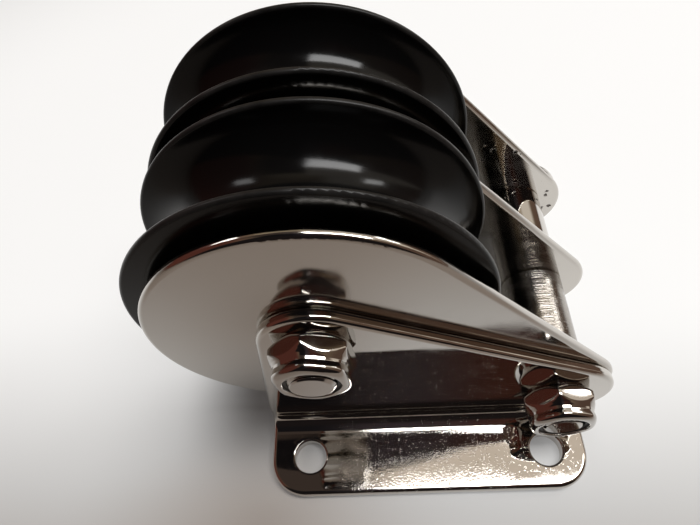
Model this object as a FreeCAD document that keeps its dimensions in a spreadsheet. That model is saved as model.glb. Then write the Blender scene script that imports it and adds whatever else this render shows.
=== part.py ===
import FreeCAD, Part
import math
import os

import Sketcher

# Double foot block: two grooved sheaves side by side on one axle bolt, between three cheek plates
# that two angle brackets carry. Millimetres. The origin is the middle of the four foot holes, on
# the plane that the feet stand on. +Z is up, +X runs from the axle to the tail bolt, and the
# front bracket is on the -Y side.

SIZES = {
    # sheaves
    "sheave_diameter": 76.2,       # over the rims
    "groove_radius": 9.5,          # section of the rope groove
    "groove_depth": 9.5,           # rim to groove floor
    "rim_land": 1.6,               # width of each rim beside the groove
    "rim_side_gap": 2.0,           # rim to cheek
    "floor_wall": 5.0,             # under the groove floor, to the side recess
    "recess_depth": 2.0,           # side recess, measured from the rim's side
    "boss_wall": 5.0,              # hub boss round the bush
    # bearings
    "bolt_diameter": 10.0,
    "bolt_clearance": 0.15,        # on the radius, in plates and tubes
    "sleeve_wall": 1.35,
    "bearing_clearance": 0.05,     # on the radius, sleeve in bush
    "bush_wall": 1.6,
    "washer_thickness": 0.8,
    "washer_width": 4.4,           # ring width, bore to rim
    "washer_clearance": 0.1,       # on the radius, over the sleeve
    "running_gap": 0.3,            # thrust washer to hub face
    # cheeks
    "cheek_thickness": 2.4,
    "rim_stand_out": 3.6,          # sheave radius over the radius of the cheek's head
    "head_drop": 1.5,              # centre of the cheek's head below the axle
    "cheek_tail_radius": 14.0,
    "tail_clearance": 1.0,         # under the cheek's tail
    "ground_clearance": 9.5,       # under the sheave
    "axle_inset": 15.5,            # from the foot's left end to the axle
    "tail_inset": 8.4,             # from the foot's right end to the tail bolt
    "spacer_wall": 2.85,           # tube round the tail bolt
    # brackets
    "bracket_thickness": 3.0,
    "bracket_head_radius": 11.5,
    "bracket_tail_inset": 0.5,     # bracket's tail radius under the cheek's
    "bend_radius": 4.0,            # inside the bend
    "shin_height": 3.0,            # square to the foot, from the bend to the slanted edge
    "knee_radius": 20.0,           # from there into the slanted edge
    "foot_length": 80.0,
    "foot_reach": 19.2,            # from the upright's outer face to the foot's free edge
    "foot_corner_radius": 9.0,
    "hole_diameter": 7.9,
    "hole_inset": 10.0,            # from the foot's ends
    "hole_edge": 9.35,             # from the foot's free edge
    # bolts and nuts
    "head_height": 6.2,
    "nut_height": 8.4,
    "crown_foot": 3.0,             # where the crown starts on the hexagon's corners
    "crown_blend": 1.6,            # rounding between the crown and its collar
    "axle_bolt_reach": 8.8,        # from the front bracket's face to the bolt's end
    "tail_bolt_reach": 8.2,
    "insert_wall": 1.35,           # nylon ring, on the radius
    "insert_height": 2.2,
    "lip_thickness": 0.7,          # rolled lip over the nylon ring
    "lip_overhang": 0.75,
    "collar_wall": 0.9,            # metal round the nylon ring
}
HEX_PER_BOLT = 1.6                 # width across flats over bolt diameter, as on standard nuts
HEAD_FACE_SHARE = 0.95             # face circle of a bolt head over width across flats
HEAD_CHAMFER_ANGLE = 30.0          # degrees
SEAT_FACE_SHARE = 0.92             # the same for a nut's seat
SEAT_CHAMFER_ANGLE = 42.0
CROWN_SLOPE = 1.81                 # rise of the nut's crown over its run
COLLAR_ROUNDING_SHARE = 0.85       # edge rounding over the width of the collar's rim
RIM_CORNER_SHARE = 0.5             # outer rounding over rim land
RIM_LIP_SHARE = 0.4                # groove lip rounding over rim land
BRACKET_ROUNDING_SHARE = 0.38      # edge rounding over bracket thickness
CHEEK_ROUNDING_SHARE = 0.46        # edge rounding over cheek thickness
HOLE_ROUNDING_SHARE = 0.2          # rounding of the foot holes over plate thickness
BOLT_POINT_SHARE = 0.08            # chamfer at the bolt's end over its diameter
TUBE_BREAK_SHARE = 0.15            # broken edge of a tube or washer over its stock
AXLE_NUT_TURN = 9.0                # degrees, how each nut came to rest
TAIL_NUT_TURN = 13.0

doc = FreeCAD.newDocument("double_block")
sheet = doc.addObject("Spreadsheet::Sheet", "Sizes")
for row, (alias, value) in enumerate(SIZES.items(), start=1):
    sheet.set(f"A{row}", alias.replace("_", " "))
    sheet.set(f"B{row}", str(value))
    sheet.setAlias(f"B{row}", alias)
doc.recompute()


class Size:
    """A length that knows both its value and the spreadsheet formula it follows."""

    def __init__(self, value, formula):
        self.value = value
        self.formula = formula

    def __add__(self, other):
        return Size(self.value + other.value, f"({self.formula} + {other.formula})")

    def __sub__(self, other):
        return Size(self.value - other.value, f"({self.formula} - {other.formula})")

    def __mul__(self, factor):
        return Size(self.value * factor, f"({self.formula} * {factor})")

    def __truediv__(self, divisor):
        return Size(self.value / divisor, f"({self.formula} / {divisor})")

    def __neg__(self):
        return Size(-self.value, f"(0 - {self.formula})")


class SheetSizes:
    """Reads a driving dimension by its alias, as in dim.sheave_diameter."""

    def __getattr__(self, alias):
        return Size(SIZES[alias], f"Sizes.{alias}")


dim = SheetSizes()
NONE = Size(0.0, "0")

# Sheave, seen in section
sheave_radius = dim.sheave_diameter / 2
floor_radius = sheave_radius - dim.groove_depth
half_rim = dim.groove_radius + dim.rim_land
half_bay = half_rim + dim.rim_side_gap
half_hub = half_bay - dim.washer_thickness - dim.running_gap

# Radii about the bolts, from the bolt outwards
bolt_radius = dim.bolt_diameter / 2
bolt_hole_radius = bolt_radius + dim.bolt_clearance
sleeve_radius = bolt_hole_radius + dim.sleeve_wall
bush_bore_radius = sleeve_radius + dim.bearing_clearance
bush_radius = bush_bore_radius + dim.bush_wall
boss_radius = bush_radius + dim.boss_wall
washer_bore_radius = sleeve_radius + dim.washer_clearance
spacer_radius = bolt_hole_radius + dim.spacer_wall
insert_radius = bolt_hole_radius + dim.insert_wall
collar_radius = insert_radius + dim.collar_wall
across_flats = dim.bolt_diameter * HEX_PER_BOLT

# Axle and tail bolt, seen from the front
half_foot = dim.foot_length / 2
axle_x = dim.axle_inset - half_foot
axle_z = sheave_radius + dim.ground_clearance
tail_x = half_foot - dim.tail_inset
tail_z = dim.cheek_tail_radius + dim.tail_clearance
cheek_head_radius = sheave_radius - dim.rim_stand_out
bracket_tail_radius = dim.cheek_tail_radius - dim.bracket_tail_inset
bend_outside = dim.bracket_thickness + dim.bend_radius

# Faces across the block, measured from its middle plane
half_cheek = dim.cheek_thickness / 2
bay_middle = half_cheek + half_bay
outer_cheek_inside = bay_middle + half_bay
outer_cheek_outside = outer_cheek_inside + dim.cheek_thickness
bracket_outside = outer_cheek_outside + dim.bracket_thickness

# Every piece is drawn as seen from the front: its own X to the right, Y up, Z towards the viewer
FRONT_VIEW = FreeCAD.Rotation(FreeCAD.Vector(1, 0, 0), 90)
FRONT_PLANE = "XY_Plane"
SIDE_PLANE = "YZ_Plane"
PLAN_PLANE = "XZ_Plane"
OUT_OF_PAGE = FreeCAD.Vector(0, 0, 1)
SAME_LENGTH = 1e-4
nodes = []


def bind(feature, name, length):
    """Ties a property of a feature to the sheet."""
    feature.setExpression(name, length.formula)


def new_body(label):
    body = doc.addObject("PartDesign::Body", label)
    body.Label = label
    return body


def place(piece, x, depth, z, turn=0.0):
    """Stands a finished piece up, with its own origin this far in front of the middle plane."""
    own_turn = FreeCAD.Rotation(OUT_OF_PAGE, turn)
    position = FreeCAD.Vector(x.value, -depth.value, z.value)
    piece.Placement = FreeCAD.Placement(position, FRONT_VIEW.multiply(own_turn))
    bind(piece, ".Placement.Base.x", x)
    bind(piece, ".Placement.Base.y", -depth)
    bind(piece, ".Placement.Base.z", z)
    nodes.append(piece)


def new_sketch(body, role, name):
    sketch = body.newObject("Sketcher::SketchObject", f"{body.Label}_{name}")
    plane = next(item for item in body.Origin.OriginFeatures if item.Role == role)
    sketch.AttachmentSupport = [(plane, "")]
    sketch.MapMode = "FlatFace"
    return sketch


def constrain(sketch, kind, *items):
    return sketch.addConstraint(Sketcher.Constraint(kind, *items))


def tie(sketch, kind, items, length):
    """Adds a dimension to a sketch and ties it to the sheet."""
    index = constrain(sketch, kind, *items, length.value)
    sketch.setExpression(f"Constraints[{index}]", length.formula)


def hold_point(sketch, edge, end, x, y):
    """Holds one end of an edge, or an arc's centre, at its two ordinates."""
    for kind, axis, ordinate in (("DistanceX", -2, x), ("DistanceY", -1, y)):
        if ordinate is NONE:
            constrain(sketch, "PointOnObject", edge, end, axis)
        else:
            tie(sketch, kind, (edge, end), ordinate)


def point(x, y):
    return FreeCAD.Vector(x.value, y.value, 0)


def on_rim(centre, radius, angle):
    return centre + FreeCAD.Vector(math.cos(angle), math.sin(angle), 0) * radius.value


def line(start, end):
    return Part.LineSegment(start, end)


def arc(centre, radius, start, end):
    return Part.ArcOfCircle(Part.Circle(centre, OUT_OF_PAGE, radius.value), start, end)


def draw_polygon(sketch, corners):
    """Draws a closed outline of straight edges with every corner dimensioned."""
    for i, corner in enumerate(corners):
        following = corners[(i + 1) % len(corners)]
        sketch.addGeometry(line(point(*corner), point(*following)))
    for i, corner in enumerate(corners):
        constrain(sketch, "Coincident", (i - 1) % len(corners), 2, i, 1)
        hold_point(sketch, i, 1, *corner)


def draw_circle(sketch, x, y, radius):
    edge = sketch.addGeometry(Part.Circle(point(x, y), OUT_OF_PAGE, radius.value))
    hold_point(sketch, edge, 3, x, y)
    tie(sketch, "Radius", (edge,), radius)


def tangent_angle(run, first_radius, second_radius):
    """Direction from both centres to where their upper common tangent touches the circles."""
    spread = math.acos((first_radius.value - second_radius.value) / run.Length)
    return math.atan2(run.y, run.x) + spread


def draw_strap(sketch, head, tail, head_radius, tail_radius):
    """Draws a round head and a round tail, joined by common tangents."""
    centre, tail_centre = point(*head), point(*tail)
    run = tail_centre - centre
    upper = tangent_angle(run, head_radius, tail_radius)
    lower = 2 * math.atan2(run.y, run.x) - upper
    head_arc = sketch.addGeometry(arc(centre, head_radius, upper, lower + 2 * math.pi))
    tail_arc = sketch.addGeometry(arc(tail_centre, tail_radius, lower, upper))
    top = sketch.addGeometry(line(on_rim(tail_centre, tail_radius, upper),
                                  on_rim(centre, head_radius, upper)))
    bottom = sketch.addGeometry(line(on_rim(centre, head_radius, lower),
                                     on_rim(tail_centre, tail_radius, lower)))
    constrain(sketch, "Tangent", tail_arc, 2, top, 1)
    constrain(sketch, "Tangent", top, 2, head_arc, 1)
    constrain(sketch, "Tangent", head_arc, 2, bottom, 1)
    constrain(sketch, "Tangent", bottom, 2, tail_arc, 1)
    hold_point(sketch, head_arc, 3, *head)
    hold_point(sketch, tail_arc, 3, *tail)
    tie(sketch, "Radius", (head_arc,), head_radius)
    tie(sketch, "Radius", (tail_arc,), tail_radius)


def add_pad(body, sketch, length, symmetric=False, backwards=False):
    pad = body.newObject("PartDesign::Pad", f"{sketch.Name}_pad")
    pad.Profile = sketch
    pad.SideType = "Symmetric" if symmetric else "One side"
    pad.Reversed = backwards
    bind(pad, "Length", length)
    doc.recompute()


def add_turned(body, sketch, kind="Revolution"):
    """Turns a sketch all round its vertical axis, to add to the body or, as a Groove, to cut."""
    turned = body.newObject(f"PartDesign::{kind}", f"{sketch.Name}_turned")
    turned.Profile = sketch
    turned.ReferenceAxis = (sketch, ["V_Axis"])
    turned.Angle = 360
    doc.recompute()


def cut_turned(body, sketch):
    """Cuts the solid that a sketch makes when turned all round its vertical axis."""
    before = body.Shape.Volume
    add_turned(body, sketch, "Groove")
    if body.Shape.Volume >= before:
        raise ValueError(f"{sketch.Name} removes nothing")


def add_holes(body, role, name, centres, radius):
    """Drills the body right through, square to one of its own planes."""
    before = body.Shape.Volume
    sketch = new_sketch(body, role, name)
    for x, y in centres:
        draw_circle(sketch, x, y, radius)
    holes = body.newObject("PartDesign::Pocket", f"{sketch.Name}_cut")
    holes.Profile = sketch
    holes.Type = "ThroughAll"
    holes.SideType = "Symmetric"
    doc.recompute()
    if body.Shape.Volume >= before:
        raise ValueError(f"{holes.Name} removes nothing")


def dress_edges(body, kind, edges, length):
    """Rounds (Fillet) or chamfers (Chamfer) the named edges of the body's solid."""
    if not edges:
        raise ValueError(f"{body.Label} has no such edge")
    base = body.Tip
    dress = body.newObject(f"PartDesign::{kind}", f"{base.Name}_{kind.lower()}")
    dress.Base = (base, edges)
    bind(dress, "Radius" if kind == "Fillet" else "Size", length)
    doc.recompute()


def near(value, length):
    return abs(value - length.value) < SAME_LENGTH


def edges_where(body, test):
    """Names the edges of the body's solid that pass the test at both ends and between them."""
    names = []
    for number, edge in enumerate(body.Tip.Shape.Edges, start=1):
        first, last = edge.ParameterRange
        if all(test(edge.valueAt(first + (last - first) * share)) for share in (0, 0.4, 0.7, 1)):
            names.append(f"Edge{number}")
    return names


def edges_round(body, radius, height):
    """Names the edges that run round the body's own axis at this radius and height, or -height."""
    return edges_where(body, lambda spot: near(math.hypot(spot.x, spot.y), radius)
                       and near(abs(spot.z), height))


def make_turned(label, section):
    """Turns a closed outline, given as (radius, height) corners, about the piece's own axis."""
    body = new_body(label)
    sketch = new_sketch(body, PLAN_PLANE, "section")
    draw_polygon(sketch, section)
    add_turned(body, sketch)
    return body


def make_tube(label, inner, outer, half_length, stock):
    """A tube or washer about its own origin; stock is the thinner side of its section."""
    body = make_turned(label, [(inner, -half_length), (outer, -half_length),
                               (outer, half_length), (inner, half_length)])
    dress_edges(body, "Chamfer", edges_round(body, outer, half_length), stock * TUBE_BREAK_SHARE)
    return body


def make_cheek(label, rear_face_depth):
    """A teardrop plate with rounded edges; its own origin is at the axle, on its rear face."""
    head = (NONE, -dim.head_drop)
    tail = (tail_x - axle_x, tail_z - axle_z)
    body = new_body(label)
    outline = new_sketch(body, FRONT_PLANE, "outline")
    draw_strap(outline, head, tail, cheek_head_radius, dim.cheek_tail_radius)
    add_pad(body, outline, dim.cheek_thickness)
    rims = edges_where(body, lambda spot: near(spot.z, NONE) or near(spot.z, dim.cheek_thickness))
    dress_edges(body, "Fillet", rims, dim.cheek_thickness * CHEEK_ROUNDING_SHARE)
    add_holes(body, FRONT_PLANE, "bolt_holes", [(NONE, NONE), tail], bolt_hole_radius)
    place(body, axle_x, rear_face_depth, axle_z)


def make_sheave(label, depth):
    """A grooved wheel: rim, side recess and hub boss, bored for its bush."""
    recess_radius = floor_radius - dim.floor_wall
    recess_floor = half_rim - dim.recess_depth
    half = [(bush_radius, half_hub), (boss_radius, half_hub), (boss_radius, recess_floor),
            (recess_radius, recess_floor), (recess_radius, half_rim), (sheave_radius, half_rim)]
    body = make_turned(label, [(radius, -height) for radius, height in half] + half[::-1])
    groove = new_sketch(body, PLAN_PLANE, "groove")
    draw_circle(groove, floor_radius + dim.groove_radius, NONE, dim.groove_radius)
    cut_turned(body, groove)
    dress_edges(body, "Fillet", edges_round(body, sheave_radius, half_rim),
                dim.rim_land * RIM_CORNER_SHARE)
    lips = edges_where(body, lambda spot: near(math.hypot(spot.x, spot.y), sheave_radius)
                       and abs(spot.z) < dim.groove_radius.value + SAME_LENGTH)
    dress_edges(body, "Fillet", lips, dim.rim_land * RIM_LIP_SHARE)
    place(body, axle_x, depth, axle_z)


def make_upright():
    """The bracket's flat plate: round head and tail, straight top, and a side down to the bend."""
    head, tail = (axle_x, axle_z), (tail_x, tail_z)
    foot_left = (-half_foot, bend_outside)
    knee = (foot_left[0] + dim.knee_radius, bend_outside + dim.shin_height)
    head_centre, tail_centre, knee_centre = point(*head), point(*tail), point(*knee)
    upper = tangent_angle(tail_centre - head_centre, dim.bracket_head_radius, bracket_tail_radius)
    drop = knee_centre - head_centre
    left = (2 * math.atan2(drop.y, drop.x) + 2 * math.pi
            - tangent_angle(drop, dim.bracket_head_radius, dim.knee_radius))
    sill = -math.asin((tail_z - bend_outside).value / bracket_tail_radius.value)

    body = new_body("upright")
    outline = new_sketch(body, FRONT_PLANE, "outline")
    tail_arc = outline.addGeometry(arc(tail_centre, bracket_tail_radius, sill, upper))
    head_arc = outline.addGeometry(arc(head_centre, dim.bracket_head_radius, upper, left))
    knee_arc = outline.addGeometry(arc(knee_centre, dim.knee_radius, left, math.pi))
    top = outline.addGeometry(line(on_rim(tail_centre, bracket_tail_radius, upper),
                                   on_rim(head_centre, dim.bracket_head_radius, upper)))
    side = outline.addGeometry(line(on_rim(head_centre, dim.bracket_head_radius, left),
                                    on_rim(knee_centre, dim.knee_radius, left)))
    shin = outline.addGeometry(line(point(foot_left[0], knee[1]), point(*foot_left)))
    bottom = outline.addGeometry(
        line(point(*foot_left), on_rim(tail_centre, bracket_tail_radius, sill)))
    constrain(outline, "Tangent", tail_arc, 2, top, 1)
    constrain(outline, "Tangent", top, 2, head_arc, 1)
    constrain(outline, "Tangent", head_arc, 2, side, 1)
    constrain(outline, "Tangent", side, 2, knee_arc, 1)
    constrain(outline, "Tangent", knee_arc, 2, shin, 1)
    constrain(outline, "Coincident", shin, 2, bottom, 1)
    constrain(outline, "Coincident", bottom, 2, tail_arc, 1)
    constrain(outline, "Vertical", shin)
    constrain(outline, "Horizontal", bottom)
    hold_point(outline, head_arc, 3, *head)
    hold_point(outline, tail_arc, 3, *tail)
    hold_point(outline, bottom, 1, *foot_left)
    tie(outline, "DistanceY", (knee_arc, 3), knee[1])
    tie(outline, "Radius", (head_arc,), dim.bracket_head_radius)
    tie(outline, "Radius", (tail_arc,), bracket_tail_radius)
    tie(outline, "Radius", (knee_arc,), dim.knee_radius)
    add_pad(body, outline, dim.bracket_thickness)

    rims = edges_where(body, lambda spot: near(spot.z, NONE)
                       or near(spot.z, dim.bracket_thickness))
    sills = edges_where(body, lambda spot: near(spot.y, bend_outside))
    dress_edges(body, "Fillet", [name for name in rims if name not in sills],
                dim.bracket_thickness * BRACKET_ROUNDING_SHARE)
    add_holes(body, FRONT_PLANE, "bolt_holes", [head, tail], bolt_hole_radius)
    return body


def make_foot():
    """The bracket's foot, with the bend that turns up into the upright."""
    thickness = dim.bracket_thickness
    free_edge = thickness + dim.foot_reach
    centre = point(bend_outside, bend_outside)
    body = new_body("foot")
    section = new_sketch(body, SIDE_PLANE, "section")
    outer = section.addGeometry(arc(centre, bend_outside, math.pi, 1.5 * math.pi))
    under = section.addGeometry(line(point(NONE, bend_outside), point(NONE, free_edge)))
    end = section.addGeometry(line(point(NONE, free_edge), point(thickness, free_edge)))
    over = section.addGeometry(line(point(thickness, free_edge), point(thickness, bend_outside)))
    inner = section.addGeometry(arc(centre, dim.bend_radius, math.pi, 1.5 * math.pi))
    neck = section.addGeometry(line(point(bend_outside, thickness), point(bend_outside, NONE)))
    for joint in ((outer, 1, under, 1), (under, 2, end, 1), (end, 2, over, 1),
                  (inner, 2, neck, 1), (neck, 2, outer, 2), (inner, 3, outer, 3)):
        constrain(section, "Coincident", *joint)
    constrain(section, "Tangent", over, 2, inner, 1)
    constrain(section, "Vertical", under)
    constrain(section, "Horizontal", end)
    constrain(section, "Vertical", over)
    constrain(section, "Vertical", neck)
    hold_point(section, under, 1, NONE, bend_outside)
    hold_point(section, end, 2, thickness, free_edge)
    hold_point(section, outer, 3, bend_outside, bend_outside)
    tie(section, "DistanceX", (neck, 1), bend_outside)
    add_pad(body, section, dim.foot_length, symmetric=True)

    corners = edges_where(body, lambda spot: near(abs(spot.x), half_foot)
                          and near(spot.z, free_edge))
    dress_edges(body, "Fillet", corners, dim.foot_corner_radius)
    skins = []
    for radius in (dim.bend_radius, bend_outside):
        skins += edges_where(body, lambda spot: near(abs(spot.x), half_foot) and near(
            math.hypot(spot.y - centre.x, spot.z - centre.y), radius))
    dress_edges(body, "Fillet", skins, thickness * BRACKET_ROUNDING_SHARE)

    hole_x, hole_depth = half_foot - dim.hole_inset, free_edge - dim.hole_edge
    add_holes(body, PLAN_PLANE, "screw_holes", [(-hole_x, hole_depth), (hole_x, hole_depth)],
              dim.hole_diameter / 2)
    mouths = edges_where(body, lambda spot: near(spot.y, thickness) and near(
        math.hypot(abs(spot.x) - hole_x.value, spot.z - hole_depth.value),
        dim.hole_diameter / 2))
    dress_edges(body, "Fillet", mouths, thickness * HOLE_ROUNDING_SHARE)
    return body


def make_brackets():
    """The front bracket, bent from one plate, and its mirror image at the rear."""
    front = doc.addObject("Part::Fuse", "front_bracket")
    front.Label = "front_bracket"
    front.Base = make_upright()
    front.Tool = make_foot()
    front.Refine = True
    place(front, NONE, outer_cheek_outside, NONE)
    rear = doc.addObject("Part::Mirroring", "rear_bracket")
    rear.Label = "rear_bracket"
    rear.Source = front
    rear.Normal = FreeCAD.Vector(0, 1, 0)
    nodes.append(rear)


def hexagon(across):
    """Corners of a hexagon with one corner up."""
    half_flat, corner = across / 2, across / math.sqrt(3)
    half_side = corner / 2
    return [(NONE, corner), (-half_flat, half_side), (-half_flat, -half_side),
            (NONE, -corner), (half_flat, -half_side), (half_flat, half_side)]


def chamfer_hexagon(body, name, face_height, face_share, angle):
    """Turns the corners of a hexagon's lower end face, in its own frame, down to a cone."""
    face_radius = across_flats / 2 * face_share
    reach = across_flats / 4
    drop = reach * math.tan(math.radians(angle))
    sketch = new_sketch(body, PLAN_PLANE, name)
    draw_polygon(sketch, [(face_radius, face_height), (face_radius + reach, face_height),
                          (face_radius + reach, face_height + drop)])
    cut_turned(body, sketch)


def make_bolt(label, x, z, reach):
    """A hexagon bolt put in from the rear; its own origin is under its head."""
    length = bracket_outside * 2 + reach
    body = new_body(label)
    head = new_sketch(body, FRONT_PLANE, "head")
    draw_polygon(head, hexagon(across_flats))
    add_pad(body, head, dim.head_height, backwards=True)
    chamfer_hexagon(body, "head_chamfer", -dim.head_height, HEAD_FACE_SHARE, HEAD_CHAMFER_ANGLE)
    shank = new_sketch(body, FRONT_PLANE, "shank")
    draw_circle(shank, NONE, NONE, bolt_radius)
    add_pad(body, shank, length)
    dress_edges(body, "Chamfer", edges_round(body, bolt_radius, length),
                dim.bolt_diameter * BOLT_POINT_SHARE)
    place(body, x, -bracket_outside, z)


def make_nut(label, x, z, turn):
    """A locking nut: a hexagon whose crown slopes in to a round collar, over its nylon ring."""
    corner_radius = across_flats / math.sqrt(3)
    collar_foot = dim.crown_foot + (corner_radius - collar_radius) * CROWN_SLOPE
    crown_end = corner_radius + dim.crown_foot / CROWN_SLOPE
    ring_top = dim.nut_height - dim.lip_thickness
    ring_foot = ring_top - dim.insert_height
    lip_radius = insert_radius - dim.lip_overhang
    clear = dim.nut_height * 2

    body = new_body(label)
    outline = new_sketch(body, FRONT_PLANE, "outline")
    draw_polygon(outline, hexagon(across_flats))
    add_pad(body, outline, dim.nut_height)
    chamfer_hexagon(body, "seat_chamfer", NONE, SEAT_FACE_SHARE, SEAT_CHAMFER_ANGLE)
    crown = new_sketch(body, PLAN_PLANE, "crown")
    draw_polygon(crown, [(collar_radius, collar_foot), (crown_end, NONE),
                         (crown_end, clear), (collar_radius, clear)])
    cut_turned(body, crown)
    dress_edges(body, "Fillet", edges_round(body, collar_radius, collar_foot), dim.crown_blend)
    dress_edges(body, "Fillet", edges_round(body, collar_radius, dim.nut_height),
                (collar_radius - lip_radius) * COLLAR_ROUNDING_SHARE)
    bore = new_sketch(body, PLAN_PLANE, "bore")
    draw_polygon(bore, [(NONE, -clear), (bolt_hole_radius, -clear),
                        (bolt_hole_radius, ring_foot), (insert_radius, ring_foot),
                        (insert_radius, ring_top), (lip_radius, ring_top),
                        (lip_radius, clear), (NONE, clear)])
    cut_turned(body, bore)
    place(body, x, bracket_outside, z, turn)


def make_nut_insert(label, x, z):
    """The nylon ring that grips the thread, under the nut's lip."""
    height = dim.insert_height
    ring = make_turned(label, [(bolt_radius, NONE), (insert_radius, NONE),
                               (insert_radius, height), (bolt_radius, height)])
    place(ring, x, bracket_outside + dim.nut_height - dim.lip_thickness - height, z)


make_brackets()
make_cheek("front_cheek", outer_cheek_inside)
make_cheek("centre_cheek", -half_cheek)
make_cheek("rear_cheek", -outer_cheek_outside)

washer_middle = half_bay - dim.washer_thickness / 2
washer_radius = washer_bore_radius + dim.washer_width
for bay, middle in (("front", bay_middle), ("rear", -bay_middle)):
    make_sheave(f"{bay}_sheave", middle)
    bush = make_tube(f"{bay}_bush", bush_bore_radius, bush_radius, half_hub, dim.bush_wall)
    place(bush, axle_x, middle, axle_z)
    sleeve = make_tube(f"{bay}_sleeve", bolt_hole_radius, sleeve_radius, half_bay,
                       dim.sleeve_wall)
    place(sleeve, axle_x, middle, axle_z)
    for side, offset in (("front", washer_middle), ("rear", -washer_middle)):
        washer = make_tube(f"{bay}_sheave_{side}_washer", washer_bore_radius, washer_radius,
                           dim.washer_thickness / 2, dim.washer_thickness)
        place(washer, axle_x, middle + offset, axle_z)
    spacer = make_tube(f"{bay}_spacer", bolt_hole_radius, spacer_radius, half_bay,
                       dim.spacer_wall)
    place(spacer, tail_x, middle, tail_z)

for end, x, z, reach, turn in (
        ("axle", axle_x, axle_z, dim.axle_bolt_reach, AXLE_NUT_TURN),
        ("tail", tail_x, tail_z, dim.tail_bolt_reach, TAIL_NUT_TURN)):
    make_bolt(f"{end}_bolt", x, z, reach)
    make_nut(f"{end}_nut", x, z, turn)
    make_nut_insert(f"{end}_nut_insert", x, z)

doc.recompute()
faults = [item.Name for item in doc.Objects if {"Invalid", "Error"} & set(item.State)]
faults += [node.Label for node in nodes if node.Shape.isNull() or not node.Shape.isValid()]
if faults:
    raise ValueError("failed: " + ", ".join(faults))

os.makedirs("parts", exist_ok=True)
for node in nodes:
    node.Shape.exportStep(f"parts/{node.Label}.step")
    print(node.Label, len(node.Shape.Solids), round(node.Shape.Volume, 1))
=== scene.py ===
import math

import bmesh
import bpy
import numpy as np
from mathutils import Matrix, Vector


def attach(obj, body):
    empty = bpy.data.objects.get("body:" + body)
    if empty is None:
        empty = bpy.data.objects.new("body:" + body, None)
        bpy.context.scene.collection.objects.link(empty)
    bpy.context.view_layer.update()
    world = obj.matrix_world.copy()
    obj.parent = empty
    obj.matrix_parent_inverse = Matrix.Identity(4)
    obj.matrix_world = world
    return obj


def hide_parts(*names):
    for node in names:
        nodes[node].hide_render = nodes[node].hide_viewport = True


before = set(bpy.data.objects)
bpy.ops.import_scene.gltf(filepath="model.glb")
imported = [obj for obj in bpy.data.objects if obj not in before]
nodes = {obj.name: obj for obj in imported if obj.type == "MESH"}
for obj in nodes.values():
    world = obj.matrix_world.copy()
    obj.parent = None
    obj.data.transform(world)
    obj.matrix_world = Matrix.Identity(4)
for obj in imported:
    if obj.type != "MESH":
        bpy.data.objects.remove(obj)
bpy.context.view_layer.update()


# Cheek plates. Three teardrops of 2.4 mm stainless plate, cut out, their edges rounded over on a
# linisher and both faces mirror polished. They hang on the axle bolt and the tail bolt. The rear
# one has a few pits that the polishing didn't reach.
def add(tree, kind, values=None, **settings):
    """A node of a kind. values sets its sockets, by name or number, or links them to an output."""
    made = tree.nodes.new("ShaderNode" + kind)
    for name, setting in settings.items():
        setattr(made, name, setting)
    for socket, value in (values or {}).items():
        if isinstance(value, bpy.types.NodeSocket):
            tree.links.new(value, made.inputs[socket])
        else:
            made.inputs[socket].default_value = value
    return made


def xyz(tree, vector):
    """The three parts of a vector."""
    return add(tree, "SeparateXYZ", {0: vector}).outputs


def calc(tree, operation, first, second=0.0):
    """The output of a Math node."""
    return add(tree, "Math", {0: first, 1: second}, operation=operation).outputs[0]


def plus(tree, first, *others):
    """The sum of two or more values."""
    for other in others:
        first = calc(tree, "ADD", first, other)
    return first


def times(tree, first, *others):
    """The product of two or more values."""
    for other in others:
        first = calc(tree, "MULTIPLY", first, other)
    return first


def ramp(tree, value, low, high, to_low=0.0, to_high=1.0):
    """A smooth step: to_low up to low, to_high from high on. Where high is the smaller of the
    two, it runs the other way."""
    return add(tree, "MapRange", {"Value": value, "From Min": low, "From Max": high,
                                  "To Min": to_low, "To Max": to_high},
               interpolation_type="SMOOTHSTEP").outputs[0]


def band(tree, value, start, full, fading, end, beyond=0.0):
    """A smooth band: 0 up to start, 1 from full to fading, and beyond from end on."""
    return times(tree, ramp(tree, value, start, full), ramp(tree, value, fading, end, 1.0, beyond))


def tint(tree, factor, first, second):
    """A colour that goes from first to second with factor. Each is three numbers or an output.
    They are inputs 6 and 7 of a Mix node of colours, and its output 2 is the mixture."""
    ends = {socket: colour if isinstance(colour, bpy.types.NodeSocket) else (*colour, 1)
            for socket, colour in ((6, first), (7, second))}
    return add(tree, "Mix", {"Factor": factor, **ends}, data_type="RGBA").outputs[2]


def noise(tree, vector, scale, detail=2.0, roughness=0.5):
    """A fractal noise from 0 to 1. Its largest lumps are about 1 / scale metres across."""
    return add(tree, "TexNoise", {"Vector": vector, "Scale": scale, "Detail": detail,
                                  "Roughness": roughness}).outputs[0]


def stretched(tree, vector, scale, turn=(0, 0, 0)):
    """A vector turned and scaled apart on each axis, so that a noise on it runs in lines."""
    return add(tree, "Mapping", {"Vector": vector, "Scale": scale, "Rotation": turn}).outputs[0]


def new_group(name, inputs, outputs):
    """An empty node group with these sockets, and its two ends."""
    tree = bpy.data.node_groups.new(name, "ShaderNodeTree")
    for socket, kind in inputs:
        tree.interface.new_socket(socket, in_out="INPUT", socket_type="NodeSocket" + kind)
    for socket in outputs:
        tree.interface.new_socket(socket, in_out="OUTPUT", socket_type="NodeSocketFloat")
    return tree, tree.nodes.new("NodeGroupInput").outputs, tree.nodes.new("NodeGroupOutput").inputs


def use_group(tree, group, values):
    """The outputs of a node group placed in a material, its inputs set as in add()."""
    return add(tree, "Group", values, node_tree=group).outputs


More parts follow.
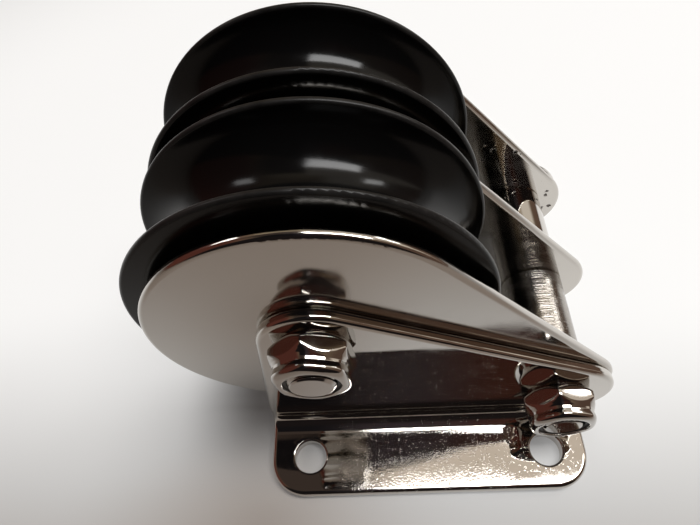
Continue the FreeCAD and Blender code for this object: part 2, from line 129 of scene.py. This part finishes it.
def new_material(name, colour, metallic, roughness):
    """A Principled material of this mean colour and roughness. Returns it with its tree, its
    shader and its Object coordinates."""
    material = bpy.data.materials.new(name)
    material.use_nodes = True
    tree = material.node_tree
    tree.nodes.clear()
    shader = add(tree, "BsdfPrincipled", {"Base Color": (*colour, 1), "Metallic": metallic,
                                          "Roughness": roughness})
    add(tree, "OutputMaterial", {"Surface": shader.outputs[0]})
    return material, tree, shader, add(tree, "TexCoord").outputs["Object"]


def give_relief(tree, shader, height, depth):
    """Joins a height to the shader's normal. A height of 1 is this many metres deep."""
    bump = add(tree, "Bump", {"Height": height, "Distance": depth, "Strength": 1.0})
    tree.links.new(bump.outputs[0], shader.inputs["Normal"])


def dress(material, *pieces):
    """Makes a material the only one of each piece."""
    for piece in pieces:
        piece.data.materials.clear()
        piece.data.materials.append(material)


# polish: what buffing leaves, as a height of slow waves and crossed hairlines, and a haze mask
polish, given, gives = new_group("polish", [("Vector", "Vector"), ("Waves", "Float"),
                                            ("Hairlines", "Float")], ["Height", "Haze"])
waves = noise(polish, given["Vector"], 75.0, detail=1.0)
along = noise(polish, stretched(polish, given["Vector"], (90, 90, 2600), (0.3, 0.5, 0)), 1.0)
across = noise(polish, stretched(polish, given["Vector"], (2300, 80, 110), (0, 0.4, 0.2)), 1.0)
hairlines = times(polish, plus(polish, along, across), given["Hairlines"])
polish.links.new(plus(polish, times(polish, waves, given["Waves"]), hairlines), gives["Height"])
haze = noise(polish, given["Vector"], 160.0, detail=4.0, roughness=0.6)
polish.links.new(ramp(polish, haze, 0.38, 0.72), gives["Haze"])

# pits: small dents of uneven size, as a mask that is 1 inside each. A dent is the heart of a
# ragged cell, out to a reach that differs from cell to cell and is none in almost half of them
RAGGED_SCALE, RAGGED_BY = 2200.0, 0.0009
pits, given, gives = new_group("pits", [("Vector", "Vector"), ("Scale", "Float"),
                                        ("Size", "Float")], ["Mask"])
shake = add(pits, "TexNoise", {"Vector": given["Vector"], "Scale": RAGGED_SCALE, "Detail": 1.0})
shift = add(pits, "VectorMath", {0: shake.outputs[1], "Scale": RAGGED_BY}, operation="SCALE")
ragged = add(pits, "VectorMath", {0: given["Vector"], 1: shift.outputs[0]}, operation="ADD")
cells = add(pits, "TexVoronoi", {"Vector": ragged.outputs[0], "Scale": given["Scale"]})
chance = add(pits, "SeparateColor", {0: cells.outputs["Color"]}).outputs[0]
reach = times(pits, ramp(pits, chance, 0.45, 1.0), given["Size"])
inside = calc(pits, "SUBTRACT", reach, cells.outputs["Distance"])
pits.links.new(ramp(pits, inside, 0.0, 0.05), gives["Mask"])

# linished: the lines that a belt leaves along a plate's sawn edge, as a height that is 0 on the
# faces, which look along Y
linished, given, gives = new_group("linished", [("Vector", "Vector")], ["Height"])
facing = xyz(linished, add(linished, "NewGeometry").outputs["True Normal"])
edge = ramp(linished, calc(linished, "ABSOLUTE", facing[1]), 0.93, 0.55)
lines = noise(linished, stretched(linished, given["Vector"], (25, 1500, 25)), 1.0, 3.0, 0.6)
linished.links.new(times(linished, lines, edge), gives["Height"])

CHEEK_STEEL, PIT_BROWN = (0.56, 0.532, 0.495), (0.05, 0.04, 0.035)
PLATE_RELIEF = 0.00006
plate, tree, shader, coords = new_material("polished_plate", CHEEK_STEEL, 1.0, 0.05)
buffed = use_group(tree, polish, {"Vector": coords, "Waves": 0.5, "Hairlines": 0.02})
tree.links.new(ramp(tree, buffed["Haze"], 0.0, 1.0, 0.08, 0.14), shader.inputs["Roughness"])
rear_inner_face = band(tree, xyz(tree, coords)[1], 0.0268, 0.0270, 0.0274, 0.0278)
patches = ramp(tree, noise(tree, coords, 110.0, detail=1.0), 0.46, 0.54)
dents = use_group(tree, pits, {"Vector": coords, "Scale": 480.0, "Size": 0.4})["Mask"]
pitted = times(tree, rear_inner_face, patches, dents)
tree.links.new(tint(tree, pitted, CHEEK_STEEL, PIT_BROWN), shader.inputs["Base Color"])
belt = times(tree, use_group(tree, linished, {"Vector": coords})["Height"], 0.9)
relief = calc(tree, "SUBTRACT", plus(tree, buffed["Height"], belt), times(tree, pitted, 2.0))
give_relief(tree, shader, relief, PLATE_RELIEF)
dress(plate, nodes["front_cheek"], nodes["centre_cheek"], nodes["rear_cheek"])

# Brackets. Each is 3 mm stainless plate, bent up from its foot and polished after bending. The
# foot's top has kept the orange peel of the sheet between its two screw holes, where the buffing
# wheel couldn't lie flat, and the sheet rises a little towards the bend.
BRACKET_STEEL = (0.60, 0.572, 0.534)
bracket_plate, tree, shader, coords = new_material("bent_plate", BRACKET_STEEL, 1.0, 0.05)
buffed = use_group(tree, polish, {"Vector": coords, "Waves": 0.6, "Hairlines": 0.03})
tree.links.new(ramp(tree, buffed["Haze"], 0.0, 1.0, 0.025, 0.06), shader.inputs["Roughness"])
x, y, z = xyz(tree, coords)
between_holes = band(tree, x, -0.0238, -0.0212, 0.012, 0.026, beyond=0.12)
on_foot = times(tree, ramp(tree, z, 0.004, 0.010, 1.0, 0.06),
                ramp(tree, z, 0.010, 0.018, 1.0, 0.0))
peel = noise(tree, coords, 2300.0, detail=2.0, roughness=0.55)
grit = use_group(tree, pits, {"Vector": coords, "Scale": 1700.0, "Size": 0.45})["Mask"]
orange_peel = times(tree, times(tree, between_holes, on_foot),
                    plus(tree, times(tree, peel, 0.5), times(tree, grit, 1.15)))
rise = ramp(tree, calc(tree, "ABSOLUTE", y), 0.0388, 0.0352, 0.0, 3.0)
belt = times(tree, use_group(tree, linished, {"Vector": coords})["Height"],
             ramp(tree, z, 0.007, 0.012, 0.0, 0.6))
relief = plus(tree, buffed["Height"], belt, plus(tree, rise, times(tree, orange_peel, 0.36)))
give_relief(tree, shader, relief, PLATE_RELIEF)
dress(bracket_plate, nodes["front_bracket"], nodes["rear_bracket"])


# Spacers and sleeves. Stainless tubes, parted off and faced in the lathe. Each spacer holds two
# cheeks apart on the tail bolt, and each sleeve is clamped on the axle bolt for its sheave.
AXLE = (-0.0245, 0.0476)
TAIL = (0.0316, 0.015)


def centred(tree, coords, axis):
    """Object coordinates measured from a bolt's axis, which is at this x and z."""
    return add(tree, "Mapping", {"Vector": coords, "Location": (-axis[0], 0, -axis[1])}).outputs[0]


def from_axis(tree, x, z):
    """The distance from an axis along Y: the root of x squared plus z squared."""
    return calc(tree, "SQRT", plus(tree, times(tree, x, x), times(tree, z, z)))


# turning: the fine rings that a tool leaves about an axis along Y, as a height
turning, given, gives = new_group("turning", [("Vector", "Vector"), ("Rings", "Float")],
                                  ["Height"])
x, y, z = xyz(turning, given["Vector"])
tool_path = add(turning, "CombineXYZ", {0: from_axis(turning, x, z), 1: y,
                                        2: times(turning, x, 0.012)}).outputs[0]
turning.links.new(noise(turning, tool_path, given["Rings"], 3.0, 0.6), gives["Height"])


def turned_steel(name, axis, rings, depth, roughness, colour=(0.64, 0.615, 0.58)):
    """Stainless turned about a bolt's axis, with rings of this fineness and depth."""
    made, tree, shader, coords = new_material(name, colour, 1.0, roughness)
    lines = use_group(tree, turning, {"Vector": centred(tree, coords, axis), "Rings": rings})
    buffed = use_group(tree, polish, {"Vector": coords, "Waves": 0.3, "Hairlines": 0.0})
    tree.links.new(ramp(tree, buffed["Haze"], 0.0, 1.0, roughness * 0.7, roughness * 1.5),
                   shader.inputs["Roughness"])
    give_relief(tree, shader, lines["Height"], depth)
    return made


# The front spacer's stainless is coloured darker than the others to dim its reflections: painted
# shade.
dress(turned_steel("turned_spacer_painted_shade", TAIL, rings=2400.0, depth=0.00013, roughness=0.19,
                   colour=(0.38, 0.357, 0.327)), nodes["front_spacer"])
dress(turned_steel("polished_spacer", TAIL, rings=1500.0, depth=0.0000012, roughness=0.05),
      nodes["rear_spacer"])
dress(turned_steel("ground_sleeve", AXLE, rings=2600.0, depth=0.000003, roughness=0.1),
      nodes["front_sleeve"], nodes["rear_sleeve"])

# Sheaves. Turned from black acetal bar, with a round rope groove and soft rims. The tool's rings
# show faintly under the sheen. The rims are greyed a little in patches, partly as handling wear
# and partly as a painted highlight along their crests.
ACETAL, WORN_AND_HIGHLIT_ACETAL = (0.0033, 0.0032, 0.0032), (0.022, 0.021, 0.020)
black, tree, shader, coords = new_material("black_acetal", ACETAL, 0.0, 0.2)
here = centred(tree, coords, AXLE)
x, y, z = xyz(tree, here)
rim = ramp(tree, from_axis(tree, x, z), 0.0370, 0.0379)
wear_and_highlight = ramp(tree, noise(tree, coords, 210.0, detail=3.0, roughness=0.6), 0.1, 0.9)
# The rims' grey is partly wear and partly a painted highlight along the crests.
tree.links.new(tint(tree, times(tree, rim, wear_and_highlight), ACETAL, WORN_AND_HIGHLIT_ACETAL),
               shader.inputs["Base Color"])
smear = noise(tree, coords, 95.0, detail=4.0, roughness=0.6)
tree.links.new(plus(tree, ramp(tree, smear, 0.35, 0.75, 0.13, 0.21), times(tree, rim, 0.16)),
               shader.inputs["Roughness"])
lines = use_group(tree, turning, {"Vector": here, "Rings": 1900.0})["Height"]
give_relief(tree, shader, lines, 0.0000018)
shader.inputs["Specular IOR Level"].default_value = 0.22
dress(black, nodes["front_sheave"], nodes["rear_sheave"])


# Bushes and thrust washers. Each sheave has a sintered bronze bush pressed into it, and a white
# nylon washer on each side keeps its hub off the cheeks.
def mottled(name, colours, metallic, roughness, lumps, depth):
    """A material that goes between two colours with a noise, which is also its relief. lumps are
    the noise's scale, detail and roughness. The first of three colours is their mean."""
    made, tree, shader, coords = new_material(name, colours[0], metallic, roughness)
    mottle = noise(tree, coords, *lumps)
    tree.links.new(tint(tree, mottle, *colours[1:]), shader.inputs["Base Color"])
    give_relief(tree, shader, mottle, depth)
    return made


dress(mottled("bush_bronze", ((0.55, 0.36, 0.17), (0.42, 0.26, 0.12), (0.66, 0.45, 0.23)),
              metallic=1.0, roughness=0.32, lumps=(2600.0, 3.0, 0.7), depth=0.000008),
      nodes["front_bush"], nodes["rear_bush"])
dress(mottled("natural_nylon", ((0.78, 0.76, 0.70), (0.72, 0.70, 0.63), (0.84, 0.83, 0.78)),
              metallic=0.0, roughness=0.45, lumps=(600.0, 3.0, 0.5), depth=0.00001),
      nodes["front_sheave_front_washer"], nodes["front_sheave_rear_washer"],
      nodes["rear_sheave_front_washer"], nodes["rear_sheave_rear_washer"])


# Bolts. Two M10 stainless hexagon bolts, put in from behind. Only the ends of their rolled
# threads show, inside the nuts, and their forged heads sit on the rear bracket.
FACE = 0.0328         # from the middle to the outer face of each bracket
HEX_HALF = 0.008      # half the width across flats
BOLT_RADIUS = 0.005
POLE = 1e-9           # the radius of a ring that closes to a point


def skin(name, rings, closed=False):
    """A smooth surface through rings of points, shaped (rings, around, 3). Neighbouring points
    share quads. closed also joins the last ring to the first. A ring at one point is a pole."""
    count, around = rings.shape[:2]
    rows = np.arange(count if closed else count - 1)[:, None]
    columns = np.arange(around)[None, :]
    following, beside = (rows + 1) % count, (columns + 1) % around
    quads = np.stack([rows * around + columns, rows * around + beside,
                      following * around + beside, following * around + columns], axis=-1)
    mesh = bpy.data.meshes.new(name)
    mesh.from_pydata(rings.reshape(-1, 3).tolist(), [], quads.reshape(-1, 4).tolist())
    work = bmesh.new()
    work.from_mesh(mesh)
    bmesh.ops.remove_doubles(work, verts=work.verts, dist=1e-7)
    work.to_mesh(mesh)
    work.free()
    mesh.shade_smooth()
    piece = bpy.data.objects.new(name, mesh)
    bpy.context.scene.collection.objects.link(piece)
    return piece


def all_round(count):
    """Angles all the way round, as one row."""
    return np.linspace(0, 2 * np.pi, count, endpoint=False)[None, :]


def about_bolt(axis, radius, height, angle):
    """Points at a radius and angle about a bolt's axis. height runs forwards from the front
    bracket's face, and radius is shaped (rings, around)."""
    x = axis[0] + radius * np.cos(angle)
    z = axis[1] + radius * np.sin(angle)
    return np.stack([x, np.broadcast_to(-FACE - height, x.shape), z], axis=-1)


def hexagon(angle, turn, n=60):
    """Radius of a hexagon with eased corners: half / (sum of cos(angle - facet)^n)^(1/n) over six
    facets that face sideways plus turn and every 60 degrees on. A smaller n is rounder."""
    facets = np.radians(turn + 60 * np.arange(6))[:, None]
    slants = np.clip(np.cos(angle - facets), 1e-3, 1) ** n
    return HEX_HALF * slants.sum(axis=0) ** (-1 / n)


def within(first, second, sharpness=45):
    """The smaller of two radii, eased where they meet: (a^-n + b^-n)^(-1/n)."""
    return ((first * 1e3) ** -sharpness + (second * 1e3) ** -sharpness) ** (-1 / sharpness) / 1e3


def run(corners, step):
    """Points along a line through corners, at most a step apart, as columns."""
    corners = np.array(corners, float)
    legs = [np.linspace(a, b, max(2, int(np.linalg.norm(b - a) / step) + 1), endpoint=False)
            for a, b in zip(corners[:-1], corners[1:])]
    return np.concatenate(legs + [corners[-1:]])


def make_bolt(end, axis, reach):
    """A hexagon head, a plain shank and a thread, closed by a pole at each end. The thread's
    radius swings between a flat crest and a flat root with height / pitch - turn."""
    angle = all_round(144)
    back, thread_start = -2 * FACE, -0.0015
    pitch, depth, crest, flank = 0.0015, 0.00085, 0.12, 0.7
    head = run([(POLE, back - 0.0062), (0.0076, back - 0.0062), (0.0095, back - 0.0051),
                (0.0095, back), (BOLT_RADIUS, back)], 0.00012)
    tip = run([(BOLT_RADIUS, thread_start), (BOLT_RADIUS, reach - 0.0008),
               (BOLT_RADIUS - 0.0008, reach), (POLE, reach)], 0.0001)
    outline = np.concatenate([head, tip])
    radius, height = outline[:, :1], outline[:, 1:]
    swing = np.abs(2 * np.mod(height / pitch - angle / (2 * np.pi), 1) - 1)
    thread = BOLT_RADIUS - depth * np.clip((swing - crest) / flank, 0, 1)
    behind = height < thread_start
    shaped = np.where(behind, within(radius, hexagon(angle, 0)), np.minimum(radius, thread))
    shaped = np.where(behind & (radius <= BOLT_RADIUS), radius, shaped)
    piece = skin(end + "_threaded_bolt", about_bolt(axis, shaped, height, angle))
    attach(piece, "frame")
    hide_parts(end + "_bolt")
    return piece


bright, tree, shader, coords = new_material("bright_steel", (0.53, 0.505, 0.475), 1.0, 0.09)
buffed = use_group(tree, polish, {"Vector": coords, "Waves": 0.5, "Hairlines": 0.05})
tree.links.new(ramp(tree, buffed["Haze"], 0.0, 1.0, 0.06, 0.13), shader.inputs["Roughness"])
give_relief(tree, shader, buffed["Height"], 0.00004)
dress(bright, make_bolt("axle", AXLE, reach=0.0088), make_bolt("tail", TAIL, reach=0.0082))


# Locking nuts. Thin M10 stainless nuts: the hexagon slopes in, with its corners running out as
# ridges, to a collar that is rolled over a dark nylon ring.
def make_nut(end, axis, turn):
    """An envelope turned about the bolt, cut down to a hexagon. On the crown and collar the
    envelope itself is drawn in between the corners: radius x (hexagon / corner)^share, with a
    rounder hexagon. share grows up the crown and fades towards the hole."""
    angle = all_round(288)
    bend = np.linspace(0, np.pi / 2, 14)
    flats = run([(0.0052, 0), (0.00736, 0), (0.0095, 0.00193), (0.0095, 0.0029)], 0.0001)
    crown = run([(0.00924, 0.0031), (0.0087, 0.0038), (0.0082, 0.0046), (0.00788, 0.0053),
                 (0.00780, 0.0059), (0.00793, 0.0065)], 0.0001)
    rim = np.stack([0.0064 + 0.0016 * np.cos(bend), 0.0070 + 0.0014 * np.sin(bend)], axis=1)
    lip = np.stack([0.0060 - 0.0003 * np.sin(bend[::3]), 0.0081 + 0.0003 * np.cos(bend[::3])],
                   axis=1)
    hole = run([(0.0057, 0.0080), (0.0057, 0.0077), (0.0065, 0.0077), (0.0065, 0.0055),
                (0.0052, 0.0055), (0.0052, 0.0001)], 0.0003)
    outline = np.concatenate([flats[:-1], crown, rim, lip, hole])
    radius, height = outline[:, :1], outline[:, 1:]
    share = 0.6 * (np.clip((height - 0.003) / 0.0033, 0, 1)
                   * np.clip((radius - 0.0058) / 0.0015, 0, 1))
    rounder = hexagon(angle, turn, n=12)
    drawn = radius * (rounder / rounder.max()) ** share
    outside = radius > 0.0066
    shaped = np.where(outside, within(drawn, hexagon(angle, turn)), drawn)
    piece = skin(end + "_locking_nut", about_bolt(axis, shaped, height, angle), closed=True)
    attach(piece, "frame")
    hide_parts(end + "_nut")
    return piece


dress(bright, make_nut("axle", AXLE, turn=9.0), make_nut("tail", TAIL, turn=13.0))
dress(mottled("dark_nylon", ((0.02, 0.02, 0.022), (0.012, 0.012, 0.014), (0.04, 0.04, 0.043)),
              metallic=0.0, roughness=0.4, lumps=(900.0, 3.0, 0.5), depth=0.00001),
      nodes["axle_nut_insert"], nodes["tail_nut_insert"])

# Floor. A sheet of white paper that runs far out on all sides. It is dimmer and warmer towards
# the front, which lies in shade, and under and in front of the block. Its glow shows only to
# rays that look at it, so it lights nothing.
FLOOR_HALF = 6.0
WHITE_PAPER, SHADED_PAPER, PAPER_GLOW = (0.34, 0.34, 0.336), (0.34, 0.302, 0.272), (1, 1, 0.995)
floor_mesh = bpy.data.meshes.new("floor")
floor_mesh.from_pydata([(-FLOOR_HALF, -FLOOR_HALF, 0), (FLOOR_HALF, -FLOOR_HALF, 0),
                        (FLOOR_HALF, FLOOR_HALF, 0), (-FLOOR_HALF, FLOOR_HALF, 0)],
                       [], [(0, 1, 2, 3)])
floor = bpy.data.objects.new("floor", floor_mesh)
bpy.context.scene.collection.objects.link(floor)
paper, tree, shader, coords = new_material("white_paper", WHITE_PAPER, 0.0, 0.6)
rays = add(tree, "LightPath").outputs
seen = calc(tree, "MAXIMUM", calc(tree, "MAXIMUM", rays["Is Camera Ray"], rays["Is Glossy Ray"]),
            rays["Is Transmission Ray"])
x, y, z = xyz(tree, coords)
slanted = plus(tree, y, times(tree, x, 0.05))
from_shade = add(tree, "VectorMath", {0: coords, 1: (-0.042, -0.060, 0)}, operation="DISTANCE")
open_floor = times(tree, ramp(tree, slanted, -0.104, 0.005),
                   ramp(tree, from_shade.outputs["Value"], -0.016, 0.056))
from_block = add(tree, "VectorMath", {0: coords}, operation="LENGTH").outputs["Value"]
near_block = ramp(tree, from_block, 0.19, 0.52, 1.0, 0.0)
sideways = calc(tree, "ABSOLUTE", plus(tree, x, 0.010))
under = times(tree, ramp(tree, sideways, 0.034, 0.058, 0.9, 0.0),
              ramp(tree, calc(tree, "ABSOLUTE", y), 0.030, 0.052, 1.0, 0.0))
glow = times(tree, open_floor, near_block, calc(tree, "SUBTRACT", 1.0, under))
tree.links.new(times(tree, seen, times(tree, glow, 0.635)), shader.inputs["Emission Strength"])
tree.links.new(tint(tree, ramp(tree, open_floor, 0.0, 0.5), SHADED_PAPER, WHITE_PAPER),
               shader.inputs["Base Color"])
shader.inputs["Emission Color"].default_value = (*PAPER_GLOW, 1)
shader.inputs["Specular IOR Level"].default_value = 0.1
dress(paper, floor)

# Room. Three ceiling panels over the block and to both sides, the ceiling that the near one
# lights up beyond itself, brown walls and furniture, and a dark side in front.
BEIGE_WALL, RED_WOOD, BROWN_WOOD = (0.24, 0.18, 0.12), (0.11, 0.036, 0.026), (0.13, 0.080, 0.058)
DARK_CEILING, WARM_CEILING = (0.055, 0.040, 0.033), (0.52, 0.43, 0.30)
PALE_CEILING, LIT_CEILING = (0.70, 0.63, 0.54), (0.80, 0.70, 0.59)
BLACK_CLOTH, GREY_CLOTH = (0.010, 0.009, 0.010), (0.042, 0.033, 0.037)
RED_CLOTH, LOW_CLOTH = (0.068, 0.026, 0.019), (0.014, 0.011, 0.011)
world = bpy.data.worlds.new("room")
bpy.context.scene.world = world
world.use_nodes = True
tree = world.node_tree

# x, y and z are the way that a ray goes, and the next two its spot on a ceiling that is 1 high
x, y, z = xyz(tree, add(tree, "TexCoord").outputs["Generated"])
upwards = calc(tree, "MAXIMUM", z, 0.05)
ceiling_x = calc(tree, "DIVIDE", x, upwards)
ceiling_y = calc(tree, "DIVIDE", y, upwards)
walls = tint(tree, ramp(tree, x, -0.35, -0.75), BEIGE_WALL, RED_WOOD)
walls = tint(tree, ramp(tree, x, 0.45, 0.85), walls, BROWN_WOOD)
far_ceiling = tint(tree, ramp(tree, ceiling_y, 0.37, 0.52), DARK_CEILING, WARM_CEILING)
colour = tint(tree, ramp(tree, z, 0.72, 0.90), walls, far_ceiling)
towards_right = times(tree, ramp(tree, ceiling_x, 0.10, 0.40), ramp(tree, ceiling_y, 0.15, 0.45))
colour = tint(tree, times(tree, towards_right, ramp(tree, z, 0.35, 0.55)), colour, PALE_CEILING)
lit = times(tree, ramp(tree, ceiling_x, -0.05, 0.01), band(tree, ceiling_y, 0.0, 0.1, 0.50, 0.62))
colour = tint(tree, lit, colour, LIT_CEILING)
high = tint(tree, ramp(tree, x, -0.12, 0.02), BLACK_CLOTH, GREY_CLOTH)
high = tint(tree, ramp(tree, x, 0.05, 0.25), high, RED_CLOTH)
dark_side = tint(tree, ramp(tree, z, 0.60, 0.88), LOW_CLOTH, high)
aside = times(tree, calc(tree, "ABSOLUTE", x), 0.6)
in_front = ramp(tree, plus(tree, y, aside), -0.02, -0.12)
colour = tint(tree, in_front, colour, dark_side)
tree.links.new(colour, tree.nodes["Background"].inputs["Color"])

for name, place, turn, width, depth, radiance in (
        ("near_panel", (0.54, 0.056, 1.5), 5, 1.14, 0.418, 10.3),
        ("right_panel", (1.85, 1.05, 1.5), 0, 0.9, 0.5, 6.0),
        ("left_panel", (-1.75, 0.95, 1.5), 0, 0.8, 0.5, 3.2)):
    lamp = bpy.data.lights.new(name, "AREA")
    lamp.shape = "RECTANGLE"
    lamp.size, lamp.size_y = width, depth
    lamp.energy = 4 * width * depth * radiance
    panel = bpy.data.objects.new(name, lamp)
    panel.location = place
    panel.rotation_euler.z = math.radians(turn)
    bpy.context.scene.collection.objects.link(panel)

# Camera. It looks down on the front of the block from close by, as in the photograph, whose
# circles and straight edges gave its place, its three turns and its focal length.
EYE = (-0.01198, -0.07975, 0.14736)
PITCH, YAW, ROLL = 0.9797, -0.0709, -0.1057
FOCAL_PX, PHOTO_PX, SENSOR = 547.87, 700, 36.0
forward = Vector((math.sin(YAW) * math.cos(PITCH), math.cos(YAW) * math.cos(PITCH),
                  -math.sin(PITCH)))
level = Vector((math.cos(YAW), -math.sin(YAW), 0))
upward = level.cross(forward)
right = math.cos(ROLL) * level + math.sin(ROLL) * upward
up = -math.sin(ROLL) * level + math.cos(ROLL) * upward
camera_data = bpy.data.cameras.new("camera")
camera_data.sensor_width = SENSOR
camera_data.lens = SENSOR * FOCAL_PX / PHOTO_PX
camera_data.clip_start = 0.005
camera = bpy.data.objects.new("camera", camera_data)
camera.matrix_world = Matrix((right, up, -forward)).transposed().to_4x4()
camera.location = EYE
bpy.context.scene.collection.objects.link(camera)
bpy.context.scene.camera = camera

bpy.context.scene.view_settings.view_transform = "Standard"
